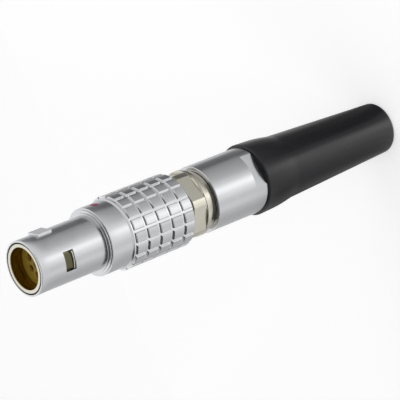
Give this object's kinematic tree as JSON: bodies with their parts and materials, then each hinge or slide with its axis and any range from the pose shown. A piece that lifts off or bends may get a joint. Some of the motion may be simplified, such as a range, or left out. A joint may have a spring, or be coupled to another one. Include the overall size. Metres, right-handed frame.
{
  "type": "push pull circular connector",
  "caption": "Straight push-pull circular plug: keyed metal nose with latch windows, knurled sliding grip, hexagon ring, collet nut with spanner flats and tapered rubber bend relief.",
  "frame": {"origin": "centre of the round mouth, in the plane of the nose's front rim", "axes": "+Z along the connector's axis and out of the mouth, so the plug stands on its cable end; -Y through the alignment key and the red dot; +X and -X through the two latch windows"},
  "size_m": [0.0094, 0.0094, 0.0593],
  "materials": {
    "satin_chrome": "satin chrome plate on turned brass",
    "nut_chrome": "satin chrome plate on turned brass",
    "bright_nickel": "warm bright nickel plate on turned brass",
    "nickel_plate": "nickel plate on turned brass, warm",
    "collet_nickel": "nickel plate on turned brass",
    "insulator_plastic": "moulded high-temperature plastic, tan",
    "gold_plate": "gold plate on turned brass",
    "red_resin": "cured red resin, slightly domed",
    "relief_rubber": "moulded soft polyurethane, dark grey, satin"
  },
  "bodies": {
    "core": {"latch_sleeve": "bright_nickel", "front_carrier": "nickel_plate", "back_carrier": "nickel_plate", "insulator": "insulator_plastic", "contact_1": "gold_plate", "contact_2": "gold_plate", "contact_3": "gold_plate", "contact_4": "gold_plate", "contact_5": "gold_plate", "contact_6": "gold_plate", "contact_7": "gold_plate"},
    "shell": {"outer_shell": "satin_chrome", "alignment_dot": "red_resin"},
    "collet": {"clamping_collet": "collet_nickel"},
    "nut": {"collet_nut": "nut_chrome", "bend_relief": "relief_rubber"}
  },
  "joints": [
    {"name": "release_slide", "type": "slide", "parent": "core", "child": "shell", "axis": [0, 0, -1], "range_m": [0, 0.0009], "stiffness_N_per_m": 500},
    {"name": "nut_feed", "type": "slide", "parent": "core", "child": "collet", "axis": [0, 0, -1], "range_m": [0, 0.0035]},
    {"name": "nut_turn", "type": "hinge", "parent": "collet", "child": "nut", "pos_m": [0, 0, 0], "axis": [0, 0, -1], "range_deg": [0, 2520]}
  ],
  "couplings": [
    {"joint": "nut_turn", "follows": "nut_feed", "rad_per_m": 12566}
  ]
}
